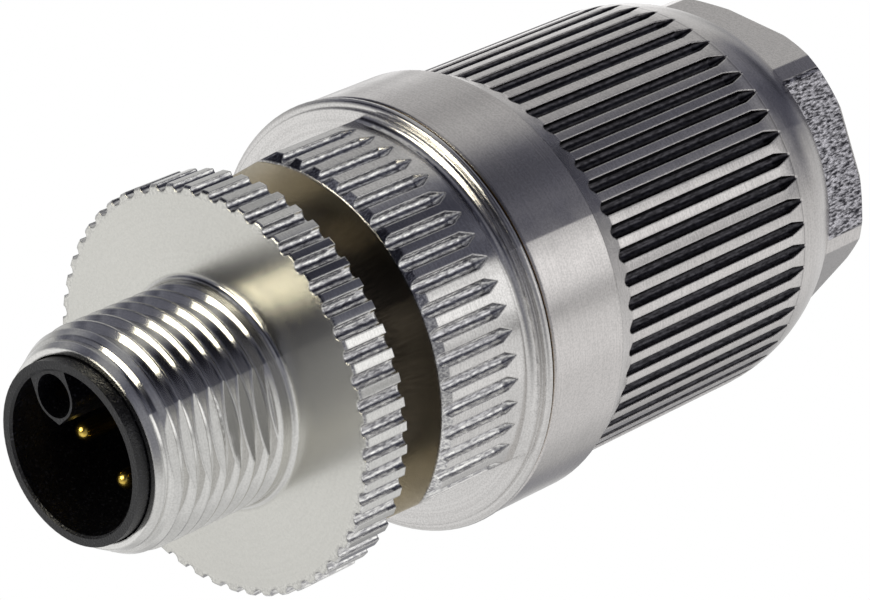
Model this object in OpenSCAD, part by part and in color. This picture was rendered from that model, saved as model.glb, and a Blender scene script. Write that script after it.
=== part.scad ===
// Circular M12 cable plug: knurled locking screw, flanged housing with wrench flats, grooved
// pressure nut, and the insulation-displacement contacts, wire ring and cable gland inside them.
// The connector's axis is Z. It stands on the cable end at z = 0 with its contact cup upwards.

/* [Overall] */
// Length from the cable end to the rim of the contact cup
total_l = 51; // [49.5:0.5:60]
// Diameter over the knurls of the locking screw and of the housing
knurl_d = 21.74; // [20.5:0.02:24]
// Play between pieces that turn or slide on each other, measured on the radius
running_gap = 0.08; // [0.04:0.01:0.1]
// Play between pieces that are pushed together and stay put, measured on the radius
seat_gap = 0.02; // [0.01:0.01:0.04]

/* [Contact cup] */
// Wall of the contact cup
cup_wall = 0.55; // [0.45:0.05:0.7]
// Depth of the contact cup
cup_depth = 8.7; // [7:0.1:9.5]
// How far the cup stands out of the locking screw
cup_proud = 0.75; // [0.5:0.05:1.2]
// Bevel inside the rim of the cup
cup_bevel = 0.12; // [0.05:0.01:0.2]
// Bore of the hollow coding nose
nose_bore_d = 2.3; // [2:0.1:2.5]
// Wall of the hollow coding nose
nose_wall = 0.14; // [0.1:0.02:0.3]
// Wall between the nose's bore and the inside of the cup
nose_inset = 0.15; // [0.1:0.05:0.2]
// How far the nose's pointed keel stands out from its tube
keel_l = 0.2; // [0.1:0.05:0.25]
// Angle between the keel and the line from the nose to the connector's axis
keel_turn = -11; // [-20:1:20]
// Direction in which the coding nose lies
nose_angle = 78; // [0:1:359]
// Depth of the coding nose's end below the rim of the cup
nose_drop = 0.15; // [0:0.05:1]

/* [Contacts] */
// Diameter of the contact pins
pin_d = 1; // [0.8:0.05:1.2]
// Diameter of the circle on which the signal pins stand
pin_circle_d = 4.7; // [4.4:0.1:5.2]
// Direction of the first signal pin
pin_angle = -21; // [-45:1:0]
// Depth of the pin tips below the rim of the cup
pin_drop = 2.65; // [2:0.05:4]
// Diameter of the pins' shoulders inside the carrier
pin_shoulder_d = 1.5; // [1.3:0.1:1.6]
// Length of the pins' shoulders
pin_shoulder_l = 1.2; // [1:0.1:1.5]
// Thickness of the cutting blades
blade_t = 0.5; // [0.3:0.05:0.6]
// Width of the cutting fork
blade_w = 2.8; // [2.4:0.1:3]
// Distance of the fork's slot from the wall of the housing's rear tube
blade_inset = 2.7; // [2.5:0.1:2.9]
// Width of the slot that cuts into the wire
blade_slot = 0.45; // [0.3:0.05:0.6]
// Depth of the slot that cuts into the wire
blade_slot_l = 4; // [3:0.1:4.5]
// Height of the fork above the back of the contact carrier
blade_proud = 5.5; // [5:0.1:6]
// Height of the blade's foot, which joins the fork to its pin
blade_foot_t = 1; // [0.8:0.1:1.2]
// Depth of the blade's foot below the back of the contact carrier
blade_sink = 0.9; // [0.6:0.1:1.2]
// How far the blade's foot reaches past the pin's axis
blade_heel = 0.7; // [0.5:0.1:0.8]

/* [Locking screw] */
// Outside diameter of the locking thread
thread_d = 11.9; // [11.8:0.05:12]
// Pitch of the locking thread
thread_pitch = 1; // [0.75:0.25:1.25]
// Height of the thread's ridges
thread_h = 0.56; // [0.4:0.02:0.6]
// Angle between a ridge's side and the plane across the axis
thread_flank = 30; // [25:1:30]
// Wall between the thread's root and the sleeve's bore
sleeve_wall = 0.51; // [0.4:0.01:0.6]
// Number of thread ridges
thread_ridges = 8; // [4:1:8]
// Distance of the first ridge behind the sleeve's front
thread_lead = 0.05; // [0:0.05:0.2]
// Bevel on the sleeve's front edge, measured on the radius
sleeve_bevel = 0.75; // [0.6:0.05:0.8]
// Length of that bevel along the axis
sleeve_bevel_l = 1.4; // [1:0.1:1.6]
// Depth of the two flats that interrupt the thread
thread_flat_cut = 0.44; // [0.3:0.02:0.5]
// Height of the round foot that the flats leave in front of the disc
thread_foot_l = 0.96; // [0.5:0.02:1.2]
// Direction in which the first thread flat faces
thread_angle = -22; // [-60:1:60]
// Length of the threaded sleeve in front of the disc
sleeve_l = 8.81; // [8.5:0.01:10]
// Rounding between sleeve and disc
sleeve_fillet = 0.35; // [0.2:0.05:0.5]
// Thickness of the knurled disc
disc_t = 2.86; // [2.6:0.02:3.4]
// Bevel on the disc's edges
disc_bevel = 0.12; // [0.08:0.02:0.3]
// Wall left in the disc in front of the neck
disc_wall = 0.9; // [0.8:0.05:1.1]
// Number of grooves round the disc
knurl_n = 54; // [36:1:60]
// Direction of the disc's first groove
knurl_angle = -1.7; // [-3:0.1:3]
// Width of the grooves in the disc's and the housing's knurl
knurl_groove_w = 0.78; // [0.5:0.02:0.8]
// Thickness of the snap ring that holds the locking screw
snap_t = 0.4; // [0.3:0.05:0.5]
// Width of the split in the snap ring
snap_split = 1.5; // [1:0.1:3]
// How far the snap ring reaches into the neck and into the screw
snap_overlap = 0.5; // [0.4:0.05:0.6]
// Free travel of the locking screw along the axis
screw_float = 0.4; // [0.2:0.05:0.4]

/* [Housing] */
// Open gap between the knurled disc and the housing
gap_l = 2.89; // [2:0.01:4]
// Length from the head's front face to the flange
head_l = 6.3; // [5.5:0.1:8]
// Bevel on the head's front edge
head_bevel = 0.4; // [0.2:0.05:0.6]
// Length of the knurl on the housing, with its pointed ends
head_knurl_l = 5.2; // [4:0.1:5.7]
// Number of grooves in each of the housing's two knurled fields
head_groove_n = 18; // [10:1:18]
// Angle from one of these grooves to the next
head_groove_step = 6.85; // [6.5:0.05:6.9]
// Direction of the middle of the first knurled field
head_knurl_angle = -2.4; // [-3:0.1:3]
// Length of the pointed ends of the knurl's grooves
knurl_point_l = 0.8; // [0.5:0.1:1.2]
// Width across the two wrench flats
flats_w = 19; // [18.5:0.1:20]
// How far the flange stands out beyond the knurls
flange_proud = 0.89; // [0.6:0.01:1.2]
// Thickness of the flange
flange_t = 0.67; // [0.6:0.01:1.2]
// Width of the flange's rim outside the step in its front face
flange_rim_w = 0.46; // [0.3:0.02:0.5]
// Height of that step
flange_step = 0.2; // [0.1:0.05:0.3]
// Diameter of the neck on which the locking screw turns
neck_d = 14.4; // [14:0.1:15]
// Wall of the neck round the contact carrier
neck_wall = 1.45; // [1.2:0.05:1.6]
// Rounding between the knurled head and the flange
flange_cove = 0.45; // [0.3:0.05:0.6]
// Thickness of the lip at the neck's front
lip_t = 0.5; // [0.4:0.05:0.6]
// Wall of the housing's rear tube
tube_wall = 1.6; // [1.2:0.1:1.8]
// Length of the rear tube behind the flange
tube_l = 7.2; // [7:0.1:9]
// Wall of the housing in front of the contact carrier's head
head_wall = 1.2; // [1:0.1:2]
// Length of the contact carrier's head
carrier_head_l = 4; // [3.5:0.1:4.4]
// Thickness of the sealing rings
seal_t = 0.8; // [0.6:0.05:0.9]

/* [Pressure nut] */
// Hairline gap between the flange and the pressure nut
nut_gap = 0.12; // [0.05:0.01:0.3]
// How far the plain band at the nut's front lies inside the flange's rim
band_inset = 0.06; // [0:0.01:0.2]
// Length of the plain band
band_l = 5.2; // [4:0.1:6]
// Height of the band above the grooved grip
band_h = 0.67; // [0.5:0.01:1]
// Bevel on the band's two edges
band_bevel = 0.1; // [0.05:0.01:0.2]
// Wall of the grip round the housing's rear tube
nut_wall = 1.05; // [0.8:0.05:1.2]
// Width of the step between the nut's two inner bores
nut_step_w = 0.8; // [0.5:0.1:1]
// Length of the slope from the band down to the grip
slope_l = 1.6; // [1:0.1:2]
// Length of the grooved grip
grip_l = 13.2; // [12:0.1:16]
// Number of grip grooves
groove_n = 54; // [36:1:60]
// Width of the grip grooves
groove_w = 0.76; // [0.5:0.02:0.8]
// Length of the grooves' pointed front ends, on the slope
groove_tip_l = 0.7; // [0.4:0.1:0.9]
// How far the grooves run out onto the dome
groove_out_l = 1.4; // [0.5:0.1:2]
// Length of the grooves' pointed rear ends
groove_tail_l = 1.5; // [0.5:0.1:2]
// How far the dome draws in from the grip to the hexagon
dome_drop = 1.44; // [1.1:0.02:1.6]
// Length of the dome
dome_l = 4.8; // [4:0.1:5.5]
// Depth of the hexagon's flats below its turned corners
hex_cut = 1.02; // [0.8:0.02:1.2]
// Direction in which the hexagon's first flat faces
hex_angle = -13; // [-30:1:30]
// Bevel on the hexagon's end
hex_bevel = 0.8; // [0.4:0.1:1.2]

/* [Cable gland] */
// Diameter of the cable entry
cable_entry_d = 10; // [9:0.1:11]
// Bore of the gland seal
seal_bore_d = 7.6; // [6:0.1:8]
// Length of the gland seal
seal_l = 7.5; // [6:0.1:8]
// Wall of the clamping cage
cage_wall = 1.1; // [0.8:0.05:1.2]
// Length of the clamping cage in front of its bent finger tips
cage_l = 8; // [7.6:0.1:9]
// Length of the bent finger tips
cage_tip_l = 2.6; // [2:0.1:3]
// Angle at which the finger tips lean inwards
cage_slope = 35; // [25:1:40]
// Number of fingers on the clamping cage
finger_n = 8; // [6:1:10]
// Width of the slots between the fingers
finger_slot_w = 1.4; // [1:0.1:2]
// Thickness of the slip ring in front of the cage
slip_t = 0.8; // [0.5:0.1:1]
// Thickness of the shield spring's ring
shield_t = 0.4; // [0.3:0.05:0.5]
// Length of the shield spring
shield_l = 2.2; // [1.8:0.1:2.4]
// Diameter inside the shield spring's finger tips
shield_tip_d = 8.4; // [7.6:0.1:9]
// Diameter at which the shield spring's fingers are bent
shield_bend_d = 12; // [11:0.1:13]
// Length of the wire ring
wire_ring_l = 9.6; // [9:0.1:10]
// Thickness of the wire ring's collar
wire_collar_t = 1.2; // [1:0.1:1.5]
// Diameter of the wire holes
wire_hole_d = 2; // [1.6:0.1:2.2]
// Diameter of the hole through the middle of the wire ring
wire_ring_bore_d = 4; // [3:0.1:5]

/* [Hidden] */
$fn = 96;
// Facets of the small round cutters
fine = 24;
// How far a cutter runs past the surface it opens
past = 1;

// Heights above the cable end, from the front to the back
z_rim = total_l;
z_cup_floor = z_rim - cup_depth;
z_sleeve = z_rim - cup_proud;
z_thread = z_sleeve - thread_lead;
z_disc = z_sleeve - sleeve_l;
z_disc_back = z_disc - disc_t;
z_head = z_disc_back - gap_l;
z_flange = z_head - head_l;
z_flange_back = z_flange - flange_t;
z_tube_end = z_flange_back - tube_l;
z_nut = z_flange_back - nut_gap;
z_band_end = z_nut - band_l;
z_grip = z_band_end - slope_l;
z_dome = z_grip - grip_l;
z_hex = z_dome - dome_l;
// The grip's grooves start on the slope and run out on the dome
groove_run = 0.05;
z_groove_start = z_grip + groove_run + groove_tip_l;
z_groove_end = z_dome - groove_out_l;

// Locking screw on the housing's neck, held by the snap ring
screw_bore_d = thread_d - 2 * (thread_h + sleeve_wall);
thread_flats_w = thread_d - 2 * thread_flat_cut;
recess_d = neck_d + 2 * running_gap;
z_recess = z_disc - disc_wall;
neck_play = 0.15;
z_neck = z_recess - neck_play;
snap_play = 0.02;
snap_clear = 0.1;
snap_spread = 0.15;
z_snap = z_disc_back + snap_t + 2 * snap_play;
snap_in_d = neck_d - 2 * (snap_overlap - snap_spread);
snap_out_d = neck_d + 2 * snap_overlap;

// Diameters from the flange inwards: flange, nut, rear tube and the gland's pieces
flange_d = knurl_d + 2 * flange_proud;
band_d = flange_d - 2 * band_inset;
grip_d = band_d - 2 * band_h;
nut_bore_d = grip_d - 2 * nut_wall;
tube_d = nut_bore_d - 2 * running_gap;
tube_bore_d = tube_d - 2 * tube_wall;
gland_bore_d = nut_bore_d - 2 * nut_step_w;
cage_d = gland_bore_d - 2 * running_gap;
cage_bore_d = cage_d - 2 * cage_wall;

// The dome's arc starts level on the grip and ends at the hexagon's turned corners
dome_r = (dome_drop * dome_drop + dome_l * dome_l) / (2 * dome_drop);
hex_corner_d = grip_d - 2 * dome_drop;
hex_w = hex_corner_d - 2 * hex_cut;

// Contact cup and carrier in the housing, with the carrier's seal
cup_d = screw_bore_d - 2 * running_gap;
cup_bore_d = cup_d - 2 * cup_wall;
nose_d = nose_bore_d + 2 * nose_wall;
nose_r = cup_bore_d / 2 - nose_bore_d / 2 - nose_inset;
neck_bore_d = neck_d - 2 * neck_wall;
z_lip = z_neck - lip_t;
z_carrier_head = z_head - head_wall;
z_carrier_back = z_carrier_head - carrier_head_l;
carrier_d = neck_bore_d - 2 * seat_gap;
carrier_head_d = tube_bore_d - 2 * seat_gap;
z_carrier_seal = (z_lip + z_carrier_head) / 2;

// Contacts: three signal pins on a circle, and the earth pin in the coding nose
pin_dirs = [pin_angle, pin_angle - 90, pin_angle + 180, nose_angle];
pin_radii = [pin_circle_d / 2, pin_circle_d / 2, pin_circle_d / 2, nose_r];
blade_r = tube_bore_d / 2 - blade_inset;
z_blade_foot = z_carrier_back + blade_foot_t + blade_sink;
z_shoulder = z_blade_foot + pin_shoulder_l;
z_fork = z_carrier_back - blade_proud;
blade_play = 0.2;
wire_turn = 30;

// Seal between the housing and the pressure nut
seal_inset = 0.3;
seal_play = 0.2;
seat_d = nut_bore_d + seal_t;
seal_groove_d = seat_d - 2 * seal_t - 4 * seat_gap;
z_housing_seal = z_nut - seal_inset - seal_t / 2;
z_seat = z_housing_seal - seal_t / 2 - seal_play;

// The gland's pieces, stacked behind the tube
tube_play = 0.2;
collar_play = 0.1;
z_nut_step = z_tube_end - tube_play;
z_collar = z_nut_step - collar_play;
z_collar_back = z_collar - wire_collar_t;
z_wire_ring = z_collar_back + wire_ring_l;
z_shield_back = z_collar_back - shield_l;
z_slip_back = z_shield_back - slip_t;
z_cage_bend = z_slip_back - cage_l;
z_cage_end = z_cage_bend - cage_tip_l;
cage_hoop_l = 1.2;
z_entry = z_cage_bend - (gland_bore_d - cable_entry_d) / 2 / tan(cage_slope);

// A cylinder between two heights
module bar(d, z0, z1) {
  translate([0, 0, min(z0, z1)]) cylinder(d = d, h = abs(z1 - z0));
}

// A rectangle of a turned profile, between two diameters and two heights
module strip(d0, d1, z0, z1) {
  translate([d0 / 2, min(z0, z1)]) square([(d1 - d0) / 2, abs(z1 - z0)]);
}

// A sealing ring of round section, given by its outside diameter
module o_ring(d, t, z) {
  translate([0, 0, z]) rotate_extrude() translate([(d - t) / 2, 0]) circle(d = t, $fn = fine);
}

// Copies of its child, evenly round the axis
module around(n, turn = 0) {
  for (i = [0 : n - 1]) rotate([0, 0, turn + i * 360 / n]) children();
}

// All that lies further out than half the width w, on n sides, between two heights
module flats(n, w, z0, z1, turn = 0) {
  around(n, turn) translate([w / 2, -w, min(z0, z1)]) cube([w, 2 * w, abs(z1 - z0)]);
}

// A round-bottomed groove along the axis, run out to a point at its lower or upper end
module tipped_groove(d, w, z0, z1, low_tip = 0, high_tip = 0) {
  tip_d = w / 20;
  translate([d / 2, 0, 0]) {
    translate([0, 0, z0 + low_tip]) cylinder(d = w, h = z1 - z0 - low_tip - high_tip, $fn = fine);
    if (low_tip > 0) translate([0, 0, z0]) cylinder(d1 = tip_d, d2 = w, h = low_tip, $fn = fine);
    if (high_tip > 0)
      translate([0, 0, z1 - high_tip]) cylinder(d1 = w, d2 = tip_d, h = high_tip, $fn = fine);
  }
}

// The V between two ridges of the locking thread, below the ridge at height z
module thread_groove(z) {
  crest = thread_pitch / 8;
  flank = thread_h * tan(thread_flank);
  r = thread_d / 2;
  translate([0, z]) polygon([
    [r, crest / 2 - thread_pitch], [r + past, crest / 2 - thread_pitch], [r + past, -crest / 2],
    [r, -crest / 2], [r - thread_h, -crest / 2 - flank],
    [r - thread_h, crest / 2 + flank - thread_pitch]
  ]);
}

// Turned profile of the locking screw: sleeve with bevelled front, fillet and bevelled disc
module screw_profile() {
  r = thread_d / 2;
  difference() {
    union() {
      polygon([
        [screw_bore_d / 2, z_recess], [r, z_recess], [r, z_sleeve - sleeve_bevel_l],
        [r - sleeve_bevel, z_sleeve], [screw_bore_d / 2, z_sleeve]
      ]);
      difference() {
        strip(thread_d - past, thread_d + 2 * sleeve_fillet, z_recess, z_disc + sleeve_fillet);
        translate([r + sleeve_fillet, z_disc + sleeve_fillet]) circle(r = sleeve_fillet, $fn = 48);
      }
      polygon([
        [screw_bore_d / 2, z_disc_back], [knurl_d / 2 - disc_bevel / 2, z_disc_back],
        [knurl_d / 2, z_disc_back + disc_bevel / 2], [knurl_d / 2, z_disc - disc_bevel],
        [knurl_d / 2 - disc_bevel, z_disc], [screw_bore_d / 2, z_disc]
      ]);
    }
    for (i = [0 : thread_ridges - 1]) thread_groove(z_thread - i * thread_pitch);
    strip(0, recess_d, z_disc_back - past, z_recess);
    strip(0, snap_out_d + 2 * snap_clear, z_snap - snap_play, z_snap + snap_t + snap_play);
  }
}

// Locking screw: one die casting of threaded sleeve and knurled disc, turned by hand
module locking_screw() {
  color("silver") difference() {
    rotate_extrude() screw_profile();
    flats(2, thread_flats_w, z_disc + thread_foot_l, z_sleeve + past, thread_angle);
    around(knurl_n, knurl_angle) translate([knurl_d / 2, 0, z_disc_back - past])
      cylinder(d = knurl_groove_w, h = disc_t + 2 * past, $fn = fine);
  }
}

// Snap ring: split steel ring that joins the locking screw to the neck
module snap_ring() {
  color("gray") difference() {
    bar(snap_out_d, z_snap, z_snap + snap_t);
    bar(snap_in_d, z_snap - past, z_snap + snap_t + past);
    translate([0, -snap_split / 2, z_snap - past]) cube([knurl_d, snap_split, snap_t + 2 * past]);
  }
}

// Turned profile of the housing, from the neck's lip to the end of the rear tube
module housing_profile() {
  roll = (flange_t - flange_step) / 2;
  difference() {
    union() {
      strip(0, neck_d, z_flange, z_neck);
      polygon([
        [0, z_flange_back], [knurl_d / 2, z_flange_back], [knurl_d / 2, z_head - head_bevel],
        [knurl_d / 2 - head_bevel, z_head], [0, z_head]
      ]);
      difference() {
        strip(knurl_d - past, knurl_d + 2 * flange_cove, z_flange_back, z_flange + flange_cove);
        translate([knurl_d / 2 + flange_cove, z_flange + flange_cove]) circle(r = flange_cove, $fn = 48);
      }
      strip(0, flange_d - 2 * flange_rim_w, z_flange_back, z_flange);
      strip(0, flange_d - 2 * roll, z_flange_back, z_flange - flange_step);
      translate([flange_d / 2 - roll, z_flange - flange_step - roll]) circle(r = roll, $fn = 48);
      strip(0, tube_d, z_tube_end, z_flange);
    }
    strip(snap_in_d - 2 * snap_clear, neck_d + past, z_snap - snap_play,
      z_snap + snap_t + screw_float + snap_play);
    strip(0, cup_d + 2 * seat_gap, z_lip - past, z_neck + past);
    strip(0, neck_bore_d, z_carrier_head - past, z_lip);
    strip(0, tube_bore_d, z_tube_end - past, z_carrier_head);
    strip(seal_groove_d, tube_d + past, z_housing_seal - seal_t / 2 - seat_gap,
      z_housing_seal + seal_t / 2 + seat_gap);
  }
}

// Housing: one casting of neck, knurled head with wrench flats, flange and threaded rear tube
module housing() {
  color("silver") difference() {
    rotate_extrude() housing_profile();
    flats(2, flats_w, z_flange, z_head + past, 90);
    for (i = [0 : head_groove_n - 1])
      around(2, head_knurl_angle + (i - (head_groove_n - 1) / 2) * head_groove_step)
        tipped_groove(knurl_d, knurl_groove_w, z_head - head_knurl_l, z_head + past, knurl_point_l);
  }
}

// Contact carrier: black plastic cup with the coding nose, body and head round the contacts
module contact_carrier() {
  color("dimgray") difference() {
    union() {
      difference() {
        bar(cup_d, z_lip, z_rim);
        bar(cup_bore_d, z_cup_floor, z_rim + past);
        translate([0, 0, z_rim - cup_bevel])
          cylinder(d1 = cup_bore_d, d2 = cup_bore_d + 2 * cup_bevel, h = cup_bevel);
      }
      intersection() {
        bar(cup_d - cup_wall, z_cup_floor - past, z_rim - nose_drop);
        rotate([0, 0, nose_angle]) translate([nose_r, 0, z_cup_floor - past]) nose();
      }
      bar(carrier_d, z_carrier_head, z_lip);
      bar(carrier_head_d, z_carrier_back, z_carrier_head);
    }
    translate([0, 0, z_carrier_seal]) rotate_extrude()
      translate([carrier_d / 2 - seal_t - seat_gap, -seal_t / 2 - seat_gap])
        square([seal_t + past, seal_t + 2 * seat_gap]);
    rotate([0, 0, nose_angle]) translate([nose_r, 0, z_cup_floor])
      cylinder(d = nose_bore_d, h = cup_depth, $fn = 48);
    for (i = [0 : 3]) rotate([0, 0, pin_dirs[i]]) {
      translate([pin_radii[i], 0, z_blade_foot - past])
        cylinder(d = pin_d + 2 * seat_gap, h = z_cup_floor - z_blade_foot + 2 * past, $fn = fine);
      translate([pin_radii[i], 0, z_blade_foot - past])
        cylinder(d = pin_shoulder_d + 2 * seat_gap, h = z_shoulder - z_blade_foot + past, $fn = fine);
      translate([pin_radii[i] - blade_heel - seat_gap, -blade_t / 2 - seat_gap, z_carrier_back - past])
        cube([blade_r + blade_w / 2 + blade_heel + 2 * seat_gap - pin_radii[i],
          blade_t + 2 * seat_gap, z_blade_foot - z_carrier_back + past]);
    }
  }
}

// Coding nose: a round tube with a pointed keel towards the axis and a web to the cup's wall
module nose() {
  r = nose_d / 2;
  web_l = cup_d / 2 - nose_r;
  keel = r + keel_l;
  touch = acos(r / keel);
  cylinder(r = r, h = cup_depth + past, $fn = 48);
  linear_extrude(cup_depth + past) {
    rotate(keel_turn) polygon([
      [-keel, 0], [-r * cos(touch), -r * sin(touch)], [0, -r / 2],
      [0, r / 2], [-r * cos(touch), r * sin(touch)]
    ]);
    translate([0, -r]) square([web_l, 2 * r]);
  }
}

// Contact pin: turned and gold plated, with a rounded tip and a shoulder in the carrier
module pin(i) {
  z_tip = z_rim - pin_drop;
  color("gold") rotate([0, 0, pin_dirs[i]]) translate([pin_radii[i], 0, 0]) {
    translate([0, 0, z_blade_foot]) cylinder(d = pin_shoulder_d, h = z_shoulder - z_blade_foot, $fn = fine);
    translate([0, 0, z_shoulder]) cylinder(d = pin_d, h = z_tip - pin_d / 2 - z_shoulder, $fn = fine);
    translate([0, 0, z_tip - pin_d / 2]) sphere(d = pin_d, $fn = fine);
  }
}

// Cutting blade: stamped fork whose slot bites through the wire's insulation
module idc_blade(i) {
  r_in = pin_radii[i] - blade_heel;
  r_out = blade_r + blade_w / 2;
  bevel = blade_w / 6;
  mouth = 1.5 * blade_slot;
  color("goldenrod") rotate([90, 0, pin_dirs[i]]) linear_extrude(blade_t, center = true)
    difference() {
      polygon([
        [r_in, z_blade_foot], [r_in, z_blade_foot - blade_foot_t],
        [r_out - blade_w, z_blade_foot - blade_foot_t], [r_out - blade_w, z_fork + bevel],
        [r_out - blade_w + bevel, z_fork], [r_out - bevel, z_fork], [r_out, z_fork + bevel],
        [r_out, z_blade_foot]
      ]);
      translate([blade_r - blade_slot / 2, z_fork - past]) square([blade_slot, blade_slot_l + past]);
      polygon([
        [blade_r - mouth, z_fork - past], [blade_r + mouth, z_fork - past],
        [blade_r + mouth, z_fork], [blade_r, z_fork + mouth + blade_slot / 2],
        [blade_r - mouth, z_fork]
      ]);
    }
}

// Seal round the contact carrier, in its groove inside the neck
module carrier_seal() {
  color("black") o_ring(carrier_d, seal_t, z_carrier_seal);
}

// Seal between the housing and the pressure nut
module housing_seal() {
  color("black") o_ring(seat_d - 2 * seat_gap, seal_t, z_housing_seal);
}

// Wire ring: leads each wire over its cutting fork and is pushed forwards by the nut
module wire_ring() {
  body_d = tube_bore_d - 2 * running_gap;
  z_wire = z_fork + blade_slot_l / 2;
  lead_d = 0.8 * wire_hole_d;
  color("dimgray") difference() {
    union() {
      bar(body_d, z_collar, z_wire_ring);
      bar(cage_d, z_collar_back, z_collar);
    }
    bar(wire_ring_bore_d, z_collar_back - past, z_wire_ring + past);
    for (i = [0 : 3]) rotate([0, 0, pin_dirs[i]]) {
      translate([blade_r - blade_w / 2 - blade_play, -blade_t / 2 - blade_play, z_fork - 2 * blade_play])
        cube([blade_w + 2 * blade_play, blade_t + 2 * blade_play, z_wire_ring - z_fork + past]);
      rotate([0, 0, wire_turn]) translate([blade_r, 0, z_collar_back - past])
        cylinder(d = wire_hole_d, h = z_wire - z_collar_back + past, $fn = fine);
      translate([blade_r, -blade_w / 2, z_wire]) rotate([-90, 0, 0])
        cylinder(d = lead_d, h = blade_w / 2 + blade_r * sin(wire_turn), $fn = fine);
    }
  }
}

// Shield spring: sheet ring whose fingers lean on the cable's braid
module shield_spring() {
  color("silver") difference() {
    rotate_extrude() polygon([
      [shield_tip_d / 2, z_shield_back], [shield_tip_d / 2 + shield_t, z_shield_back],
      [shield_bend_d / 2 + shield_t, z_collar_back - shield_t],
      [cage_d / 2 - shield_t, z_collar_back - shield_t], [cage_d / 2 - shield_t, z_shield_back],
      [cage_d / 2, z_shield_back], [cage_d / 2, z_collar_back], [shield_bend_d / 2, z_collar_back]
    ]);
    around(finger_n) translate([0, -finger_slot_w / 4, z_shield_back - past])
      cube([shield_bend_d / 2 + shield_t, finger_slot_w / 2, shield_l + 2 * past]);
  }
}

// Slip ring: plastic washer that lets the nut turn without twisting the shield spring
module slip_ring() {
  color("white") difference() {
    bar(cage_d, z_slip_back, z_shield_back);
    bar(cable_entry_d, z_slip_back - past, z_shield_back + past);
  }
}

// Clamping cage: plastic fingers that the nut's cone presses onto the seal
module clamp_cage() {
  dip = cage_tip_l * tan(cage_slope);
  color("darkslategray") difference() {
    rotate_extrude() polygon([
      [cage_bore_d / 2 - dip, z_cage_end], [cage_d / 2 - dip, z_cage_end],
      [cage_d / 2, z_cage_bend], [cage_d / 2, z_slip_back],
      [cage_bore_d / 2, z_slip_back], [cage_bore_d / 2, z_cage_bend]
    ]);
    around(finger_n, 180 / finger_n) translate([0, -finger_slot_w / 2, z_cage_end - past])
      cube([cage_d, finger_slot_w, cage_l + cage_tip_l - cage_hoop_l + past]);
  }
}

// Gland seal: rubber sleeve squeezed round the cable
module gland_seal() {
  soft = 0.5;
  r0 = seal_bore_d / 2;
  r1 = cage_bore_d / 2 - seat_gap;
  color("black") rotate_extrude() polygon([
    [r0 + soft, z_slip_back - seal_l], [r1 - soft, z_slip_back - seal_l],
    [r1, z_slip_back - seal_l + soft], [r1, z_slip_back], [r0 + soft, z_slip_back],
    [r0, z_slip_back - soft], [r0, z_slip_back - seal_l + soft]
  ]);
}

// Turned profile of the pressure nut, solid inside
module nut_outline() {
  polygon([
    [0, z_dome], [grip_d / 2, z_dome], [grip_d / 2, z_grip],
    [band_d / 2 - band_bevel, z_band_end - band_bevel], [band_d / 2, z_band_end],
    [band_d / 2, z_nut - band_bevel], [band_d / 2 - band_bevel, z_nut], [0, z_nut]
  ]);
  intersection() {
    translate([grip_d / 2 - dome_r, z_dome]) circle(r = dome_r, $fn = 180);
    strip(0, grip_d, z_hex, z_dome);
  }
  polygon([
    [0, 0], [hex_corner_d / 2 - hex_bevel, 0], [hex_corner_d / 2, hex_bevel],
    [hex_corner_d / 2, z_hex], [0, z_hex]
  ]);
}

// Pressure nut: grooved grip, domed shoulder and hexagon in one piece, screwed onto the tube
module pressure_nut() {
  color("silver") difference() {
    rotate_extrude() difference() {
      nut_outline();
      strip(0, seat_d, z_seat, z_nut + past);
      strip(0, nut_bore_d, z_nut_step, z_seat + past);
      strip(0, gland_bore_d, z_cage_bend, z_nut_step + past);
      polygon([
        [0, z_entry], [cable_entry_d / 2, z_entry], [gland_bore_d / 2, z_cage_bend], [0, z_cage_bend]
      ]);
      strip(0, cable_entry_d, -past, z_entry + past);
    }
    flats(6, hex_w, -past, z_hex, hex_angle);
    around(groove_n)
      tipped_groove(grip_d, groove_w, z_groove_end, z_groove_start, groove_tail_l, groove_tip_l);
  }
}

locking_screw();
snap_ring();
housing();
contact_carrier();
pin(0);  // pin_1
pin(1);  // pin_2
pin(2);  // pin_3
pin(3);  // pin_4
idc_blade(0);  // idc_blade_1
idc_blade(1);  // idc_blade_2
idc_blade(2);  // idc_blade_3
idc_blade(3);  // idc_blade_4
carrier_seal();
housing_seal();
wire_ring();
shield_spring();
slip_ring();
clamp_cage();
gland_seal();
pressure_nut();
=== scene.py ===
"""Looks of a circular M12 cable plug: nickel-plated castings round a black contact cup."""
import math

import bpy
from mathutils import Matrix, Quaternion, Vector

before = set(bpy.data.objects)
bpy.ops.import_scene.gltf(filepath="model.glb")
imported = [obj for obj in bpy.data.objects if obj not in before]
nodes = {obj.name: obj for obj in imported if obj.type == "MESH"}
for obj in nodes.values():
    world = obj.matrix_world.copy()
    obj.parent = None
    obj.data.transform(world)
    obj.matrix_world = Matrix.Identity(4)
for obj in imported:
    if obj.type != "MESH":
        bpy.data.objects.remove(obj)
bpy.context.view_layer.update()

# ---------------------------------------------------------------- Studio
# A plain white sweep under one soft box. The plug stands on its hexagon, and the camera is turned
# on its side to look at the contact cup from above. The room is light, with dark cards that give
# the plated metal its black streaks.


def direction(azimuth, elevation):
    """The unit vector that points that many degrees round from +X and up from the floor."""
    a = math.radians(azimuth)
    e = math.radians(elevation)
    return Vector((math.cos(e) * math.cos(a), math.cos(e) * math.sin(a), math.sin(e)))


CAMERA_TARGET = Vector((0, -0.00034, 0.0251))
CAMERA_DISTANCE = 0.23883
CAMERA_ROLL = -113.95

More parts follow.
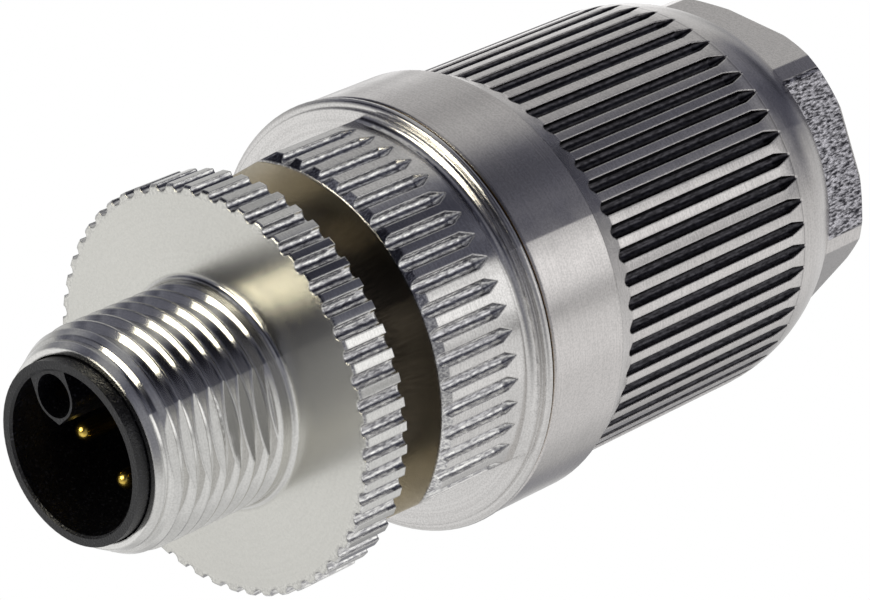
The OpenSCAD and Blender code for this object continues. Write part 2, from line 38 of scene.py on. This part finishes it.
camera_data = bpy.data.cameras.new("camera")
camera_data.lens = 188.7
camera_data.sensor_width = 36
camera_data.clip_start = 0.01
camera = bpy.data.objects.new("camera", camera_data)
bpy.context.scene.collection.objects.link(camera)
towards_camera = direction(-1.972, 42.025)
camera.location = CAMERA_TARGET + CAMERA_DISTANCE * towards_camera
level = (-towards_camera).to_track_quat("-Z", "Y")
camera.rotation_mode = "QUATERNION"
camera.rotation_quaternion = level @ Quaternion((0, 0, 1), math.radians(CAMERA_ROLL))
bpy.context.scene.camera = camera
bpy.context.scene.view_settings.view_transform = "Standard"


def paint(hex_colour):
    """An sRGB hex colour as linear RGBA."""
    channels = [int(hex_colour[i:i + 2], 16) / 255 for i in (1, 3, 5)]
    return [c / 12.92 if c <= 0.04045 else ((c + 0.055) / 1.055) ** 2.4 for c in channels] + [1]


def add(tree, kind, inputs=None, **settings):
    """Adds a node with its settings.

    inputs gives each named socket a value, an output, or a node, whose first output it takes."""
    node = tree.nodes.new("ShaderNode" + kind)
    for name, value in settings.items():
        setattr(node, name, value)
    for name, value in (inputs or {}).items():
        if isinstance(value, bpy.types.Node):
            value = value.outputs[0]
        if isinstance(value, bpy.types.NodeSocket):
            tree.links.new(value, node.inputs[name])
        else:
            node.inputs[name].default_value = value
    return node


def card(tree, looking, azimuth, elevation, inner, outer):
    """1 within inner degrees of that direction, fading to 0 at outer degrees."""
    to_card = {0: looking, 1: direction(azimuth, elevation)}
    cosine = add(tree, "VectorMath", to_card, operation="DOT_PRODUCT").outputs["Value"]
    fade = {"From Min": math.cos(math.radians(outer)), "From Max": math.cos(math.radians(inner))}
    return add(tree, "MapRange", {"Value": cosine, **fade}, interpolation_type="SMOOTHSTEP")


ROOM_LEVEL = 0.75
DARKEST = 0.02
# Azimuth, elevation, inner and outer angle, and the brightness that the card adds to the room
# (less than 0 for a dark card)
CARDS = [
    (84, 51, 20, 60, -0.51), (26, -54, 20, 60, -0.23), (-9, 36, 20, 60, -0.48),
    (112, 4, 14, 44, -0.31), (-137, -35, 8, 28, -0.25), (-16, -40, 4, 16, 0.88),
    (29, -18, 14, 44, -0.45), (49, -77, 8, 28, -0.42), (84, 80, 4, 16, -0.15),
    (175, 36, 2, 9, 0.22), (156, -48, 2, 9, 0.66), (-134, 28, 4, 16, -0.10),
    (127, -72, 4, 16, -0.17), (100, -28, 8, 28, -0.14), (-24, -48, 4, 16, -0.34),
    (132, 24, 2, 9, -0.17), (70, -9, 20, 60, -0.16), (-33, -72, 2, 9, -0.13),
    (120, 48, 2, 9, -0.06), (164, -60, 4, 16, -0.41), (-54, -48, 4, 16, 0.16),
    (42, 64, 4, 16, 0.15), (132, -48, 2, 9, 0.37), (132, -28, 8, 28, -0.22),
    (6, -48, 2, 9, -0.19), (71, -68, 2, 9, 0.11), (-145, -36, 4, 16, -0.20),
    (-60, -84, 2, 9, 0.30), (69, -40, 4, 16, 0.13), (-68, 59, 14, 44, 0.08),
]

world = bpy.data.worlds.new("room")
bpy.context.scene.world = world
world.use_nodes = True
room = world.node_tree
room.nodes.clear()
looking = add(room, "TexCoord").outputs["Generated"]
level_now = ROOM_LEVEL
for azimuth, elevation, inner, outer, given in CARDS:
    shade = card(room, looking, azimuth, elevation, inner, outer)
    level_now = add(room, "Math", {0: shade, 1: given, 2: level_now}, operation="MULTIPLY_ADD")
level_now = add(room, "Math", {0: level_now, 1: DARKEST}, operation="MAXIMUM")
seen = add(room, "LightPath").outputs["Is Camera Ray"]
shown = add(room, "Mix", {"Factor": seen, "A": level_now, "B": 1.0})
# The dark cards are a little bluer than the room
lightness = add(room, "Math", {0: shown, 1: 2.5}, operation="MULTIPLY", use_clamp=True)
tones = {"Factor": lightness, 6: paint("#D2D6FF"), 7: paint("#FFFFFF")}
tint = add(room, "Mix", tones, data_type="RGBA").outputs[2]
background = add(room, "Background", {"Color": tint, "Strength": shown})
add(room, "OutputWorld", {"Surface": background})

# As low as the pressure nut comes when it is unscrewed
FLOOR_Z = -0.0055
bpy.ops.object.select_all(action="DESELECT")
bpy.ops.mesh.primitive_plane_add(size=6, location=(0, 0, FLOOR_Z))
floor = bpy.context.object
floor.name = "floor"
floor.visible_glossy = False
sweep = bpy.data.materials.new("white_sweep")
sweep.use_nodes = True
tree = sweep.node_tree
tree.nodes.clear()
white = add(tree, "BsdfDiffuse", {"Color": paint("#F2F2F2")})
glow = add(tree, "Emission", {"Color": paint("#FFFFFF"), "Strength": 1.0})
seen = add(tree, "LightPath").outputs["Is Camera Ray"]
mixed = add(tree, "MixShader", {0: seen, 1: white, 2: glow})
add(tree, "OutputMaterial", {"Surface": mixed})
floor.data.materials.append(sweep)

# A warm soft box above the plug's side, 0.6 m away and 0.26 m wide
key = bpy.data.lights.new("key_light", "AREA")
key.size = 0.26
key.energy = 1.5
key.color = (1, 0.94, 0.74)
key_light = bpy.data.objects.new("key_light", key)
bpy.context.scene.collection.objects.link(key_light)
towards_key = direction(88, 60)
key_light.location = CAMERA_TARGET + 0.6 * towards_key
key_light.rotation_mode = "QUATERNION"
key_light.rotation_quaternion = (-towards_key).to_track_quat("-Z", "Y")

# ---------------------------------------------------------------- Housing
# One zinc die casting, nickel plated: neck, knurled head with two wrench flats, flange and rear
# tube. The plating is satin on its turned faces, and sparkles where the raw casting shows.
MM = 0.001


def within(tree, value, low, high, soft=0.03):
    """1 where value lies between low and high, in millimetres, with soft edges."""
    starts = {"Value": value, "From Min": (low - soft) * MM, "From Max": (low + soft) * MM}
    ends = {"Value": value, "From Min": (high + soft) * MM, "From Max": (high - soft) * MM}
    up = add(tree, "MapRange", starts, interpolation_type="SMOOTHSTEP")
    down = add(tree, "MapRange", ends, interpolation_type="SMOOTHSTEP")
    return add(tree, "Math", {0: up, 1: down}, operation="MULTIPLY")


def metal(name, light, dark, rough, marks_mm, zones=(), anisotropy=0.5):
    """Plated metal on a turned piece, marked by fine rings of that depth in mm.

    A zone is a part of the surface with another finish: the direction in which it lies (None all
    round), from where to where it reaches that way in mm, its lowest and highest point in mm, the
    colours of its pits and its skin, and its grain in mm, roughness and anisotropy."""
    made = bpy.data.materials.new(name)
    made.use_nodes = True
    tree = made.node_tree
    tree.nodes.clear()
    place = add(tree, "TexCoord").outputs["Object"]
    axes = add(tree, "SeparateXYZ", {0: place}).outputs
    flat = add(tree, "VectorMath", {0: place, 1: (1, 1, 0)}, operation="MULTIPLY").outputs[0]
    radius = add(tree, "VectorMath", {0: flat}, operation="LENGTH").outputs["Value"]
    # Turning marks: streaks that run round the axis, 0.09 mm apart
    around_it = add(tree, "Math", {0: axes[1], 1: 0.03}, operation="MULTIPLY")
    ring = add(tree, "CombineXYZ", {0: radius, 1: axes[2], 2: around_it})
    marks = add(tree, "TexNoise", {"Vector": ring, "Scale": 1 / (0.09 * MM), "Detail": 2})
    # Grain of the cast skin, 0.12 mm wide and drawn out along the axis, slow clouds 2 mm wide, and
    # the fine salt and pepper of the plating
    drawn = add(tree, "VectorMath", {0: place, 1: (1, 1, 0.3)}, operation="MULTIPLY")
    grain = add(tree, "TexNoise", {"Vector": drawn, "Scale": 1 / (0.12 * MM), "Detail": 3})
    clouds = add(tree, "TexNoise", {"Vector": place, "Scale": 1 / (2 * MM), "Detail": 4})
    fine = add(tree, "TexNoise", {"Vector": place, "Scale": 1 / (0.1 * MM), "Detail": 1})
    streaks = add(tree, "Mix", {"Factor": 0.4, 2: fine, 3: marks})
    toned = {"Value": streaks, "From Min": 0.36, "From Max": 0.62}
    toned = add(tree, "MapRange", toned, interpolation_type="SMOOTHSTEP")
    tone = {"Factor": toned, 6: paint(dark), 7: paint(light)}
    colour = add(tree, "Mix", tone, data_type="RGBA").outputs[2]
    pits = {"Value": grain, "From Min": 0.33, "From Max": 0.67}
    pits = add(tree, "MapRange", pits, interpolation_type="SMOOTHSTEP")
    gloss = {"From Min": 0.3, "From Max": 0.7, "To Min": rough * 0.85, "To Max": rough * 1.15}
    roughness = add(tree, "MapRange", {"Value": clouds, **gloss}, interpolation_type="SMOOTHSTEP")
    height = add(tree, "Math", {0: marks, 1: marks_mm * MM}, operation="MULTIPLY")
    along = anisotropy
    for side, low, high, z_low, z_high, pit, skin, grain_depth, zone_rough, zone_along in zones:
        reach = radius
        if side is not None:
            facing = {0: place, 1: direction(side, 0)}
            reach = add(tree, "VectorMath", facing, operation="DOT_PRODUCT").outputs["Value"]
        here = within(tree, reach, low, high)
        span = within(tree, axes[2], z_low, z_high)
        here = add(tree, "Math", {0: here, 1: span}, operation="MULTIPLY")
        # A zone's own colours: a finish, or painted shade where a zone darkens a hollow
        tone = {"Factor": pits, 6: paint(pit), 7: paint(skin)}
        finish_and_shade_tone = add(tree, "Mix", tone, data_type="RGBA").outputs[2]
        tone = {"Factor": here, 6: colour, 7: finish_and_shade_tone}
        colour = add(tree, "Mix", tone, data_type="RGBA").outputs[2]
        roughness = add(tree, "Mix", {"Factor": here, 2: roughness, 3: zone_rough})
        along = add(tree, "Mix", {"Factor": here, 2: along, 3: zone_along})
        cast = add(tree, "Math", {0: grain, 1: grain_depth * MM}, operation="MULTIPLY")
        height = add(tree, "Mix", {"Factor": here, 2: height, 3: cast})
    round_edge = add(tree, "Bevel", {"Radius": 0.12 * MM}, samples=4)
    bump = {"Height": height, "Distance": 1.0, "Strength": 1.0, "Normal": round_edge}
    around = add(tree, "Tangent", direction_type="RADIAL", axis="Z")
    surface = {
        "Base Color": colour, "Metallic": 1.0, "Roughness": roughness, "Tangent": around,
        "Normal": add(tree, "Bump", bump), "Anisotropic": along, "Anisotropic Rotation": 0.25,
    }
    shader = add(tree, "BsdfPrincipled", surface)
    add(tree, "OutputMaterial", {"Surface": shader})
    return made


def dress(material, *names):
    """Gives CAD nodes their material."""
    for name in names:
        slots = nodes[name].data.materials
        slots.clear()
        slots.append(material)


# Direction, from, to, lowest, highest, pits, skin, grain, roughness, anisotropy
HOUSING_ZONES = [
    (None, 10.3, 10.84, 30, 36, "#A9A8AB", "#F2F1EE", 0.009, 0.1, 0),  # knurl
    (None, 10.2, 10.5, 29.6, 35.55, "#8B8A8E", "#D6D5D8", 0.009, 0.12, 0),  # its roots, darker: painted shade in the grooves
    (-90, 9.4, 9.6, 29.3, 36, "#D0CECC", "#E2E0DE", 0.0004, 0.13, 0),  # wrench flats
    (90, 9.4, 9.6, 29.3, 36, "#D0CECC", "#E2E0DE", 0.0004, 0.13, 0),
    (None, 7.3, 10.35, 35.5, 35.8, "#C9C1B0", "#D6CEBD", 0, 0.16, 0.9),  # turned, thin plating
    (None, 6, 7.3, 35.75, 39, "#4A4743", "#6A6560", 0, 0.3, 0.4),  # neck, darkened: painted shade in the gap between head and disc
    (None, 0, 12, 20, 28.8, "#A98238", "#B08A3C", 0, 0.3, 0.3),  # rear tube, yellow passivated
]
# Nickel plating over a turned casting: pale and satin, with faint rings
cast_nickel = metal("cast_nickel", "#E2E0DE", "#D0CECC", 0.13, 0.0008, HOUSING_ZONES)
dress(cast_nickel, "housing")

# ---------------------------------------------------------------- Contact carrier
# Moulded in black glass-filled polyamide: contact cup, coding nose and the body behind them.
# The gland's clamp cage is moulded in the same plastic.


def plastic(name, light, dark, rough, grain_mm, depth_mm, speck):
    """Moulded plastic or rubber with a fine grain, and specks of filler or dust."""
    made = bpy.data.materials.new(name)
    made.use_nodes = True
    tree = made.node_tree
    tree.nodes.clear()
    place = add(tree, "TexCoord").outputs["Object"]
    grain = add(tree, "TexNoise", {"Vector": place, "Scale": 1 / (grain_mm * MM), "Detail": 2})
    clouds = add(tree, "TexNoise", {"Vector": place, "Scale": 1 / (2 * MM), "Detail": 3})
    height = add(tree, "Math", {0: grain, 1: depth_mm * MM}, operation="MULTIPLY")
    normal = add(tree, "Bump", {"Height": height, "Distance": 1.0, "Strength": 1.0})
    tone = {"Factor": clouds, 6: paint(dark), 7: paint(light)}
    colour = add(tree, "Mix", tone, data_type="RGBA").outputs[2]
    specks = {"Value": grain, "From Min": 0.6, "From Max": 0.7}
    specks = add(tree, "MapRange", specks, interpolation_type="SMOOTHSTEP")
    specks = {"Factor": specks, 6: colour, 7: paint(speck)}
    colour = add(tree, "Mix", specks, data_type="RGBA").outputs[2]
    gloss = {"From Min": 0.35, "From Max": 0.65, "To Min": rough * 0.8, "To Max": rough * 1.2}
    roughness = add(tree, "MapRange", {"Value": grain, **gloss}, interpolation_type="SMOOTHSTEP")
    surface = {"Base Color": colour, "Roughness": roughness, "Normal": normal}
    shader = add(tree, "BsdfPrincipled", surface)
    add(tree, "OutputMaterial", {"Surface": shader})
    return made


# Glass-filled polyamide: near black, half dull, with pale specks of the filler
black_polyamide = plastic("black_polyamide", "#0C0C11", "#07070A", 0.34, 0.12, 0.03, "#3A3A42")
dress(black_polyamide, "contact_carrier", "clamp_cage")

# ---------------------------------------------------------------- Contacts
# Three signal pins and the earth pin, turned in brass, gold plated and pressed into the carrier.
# The cutting blades behind them and the shield spring are stamped in bronze sheet and tinned.

# Gold plating: warm yellow with clear highlights
gold_plate = metal("gold_plate", "#F8DA72", "#ECC65C", 0.2, 0, anisotropy=0)
dress(gold_plate, "pin_1", "pin_2", "pin_3", "pin_4")
# Tinned bronze sheet: a dull, slightly warm grey
tinned_bronze = metal("tinned_bronze", "#C9C3B8", "#B8B2A8", 0.3, 0, anisotropy=0.1)
dress(tinned_bronze, "idc_blade_1", "idc_blade_2", "idc_blade_3", "idc_blade_4", "shield_spring")

# ---------------------------------------------------------------- Seals
# Moulded in nitrile rubber: a ring between carrier and neck, a ring between housing and nut, and
# the sleeve that the gland presses on the cable.

# Nitrile rubber: dark and dull, with hardly a highlight
black_rubber = plastic("black_rubber", "#1C1C1C", "#141414", 0.7, 0.2, 0.01, "#262626")
dress(black_rubber, "carrier_seal", "housing_seal", "gland_seal")

# ---------------------------------------------------------------- Locking screw
# Zinc die casting with the M12 thread and a knurled disc, nickel plated, its front face turned.
# A split spring-steel ring holds it on the housing's neck.
SCREW_ZONES = [
    (None, 10.35, 10.84, 38, 42, "#A9A8AB", "#F2F1EE", 0.009, 0.1, 0),  # knurl
    (None, 10.2, 10.5, 38.7, 41.35, "#66656A", "#B6B5B8", 0.009, 0.12, 0),  # its roots, darker: painted shade in the grooves
    (None, 6.2, 10.8, 41.43, 42, "#D2D1CA", "#D8D7D0", 0, 0.24, 0.85),  # turned front of the disc
]
# Nickel plating over a smooth casting: brighter and glossier than the housing's
screw_nickel = metal("screw_nickel", "#E2E1DE", "#D6D5D2", 0.1, 0.001, SCREW_ZONES)
dress(screw_nickel, "locking_screw")
# Blank spring steel: darker grey, satin
spring_steel = metal("spring_steel", "#A8A8A8", "#8C8C8C", 0.3, 0, anisotropy=0.1)
dress(spring_steel, "snap_ring")

# ---------------------------------------------------------------- Cable gland
# The wire ring leads the wires over the blades, and the slip ring lets the nut turn against it.
# Both are moulded, in grey polyamide and in white acetal.

# Unfilled polyamide: mid grey and half dull
grey_polyamide = plastic("grey_polyamide", "#55585A", "#4A4D4F", 0.45, 0.12, 0.006, "#6A6D6F")
dress(grey_polyamide, "wire_ring")
# Acetal: milky white and smooth
white_acetal = plastic("white_acetal", "#EDEBE6", "#E2E0DA", 0.35, 0.2, 0.003, "#F2F0EC")
dress(white_acetal, "slip_ring")

# ---------------------------------------------------------------- Pressure nut
# A nickel-plated zinc casting with a turned band, a grooved grip, a smooth dome and a hexagon.
# It screws on the housing's rear tube, and one flat of its hexagon is left as cast.
NUT_ZONES = [
    (None, 10.4, 10.97, 7.6, 22.4, "#2A292C", "#4A494D", 0.002, 0.14, 0),  # inside the grooves: painted shade, darker than the lands
    (-13, 8.45, 8.7, 0.1, 3.75, "#323137", "#D0CED4", 0.04, 0.18, 0),  # flat left as cast
]
# Nickel plating over deeper turning marks: a duller satin that draws the light out round the nut
turned_nickel = metal("turned_nickel", "#E0DCDA", "#CECBC9", 0.22, 0.0012, NUT_ZONES)
dress(turned_nickel, "pressure_nut")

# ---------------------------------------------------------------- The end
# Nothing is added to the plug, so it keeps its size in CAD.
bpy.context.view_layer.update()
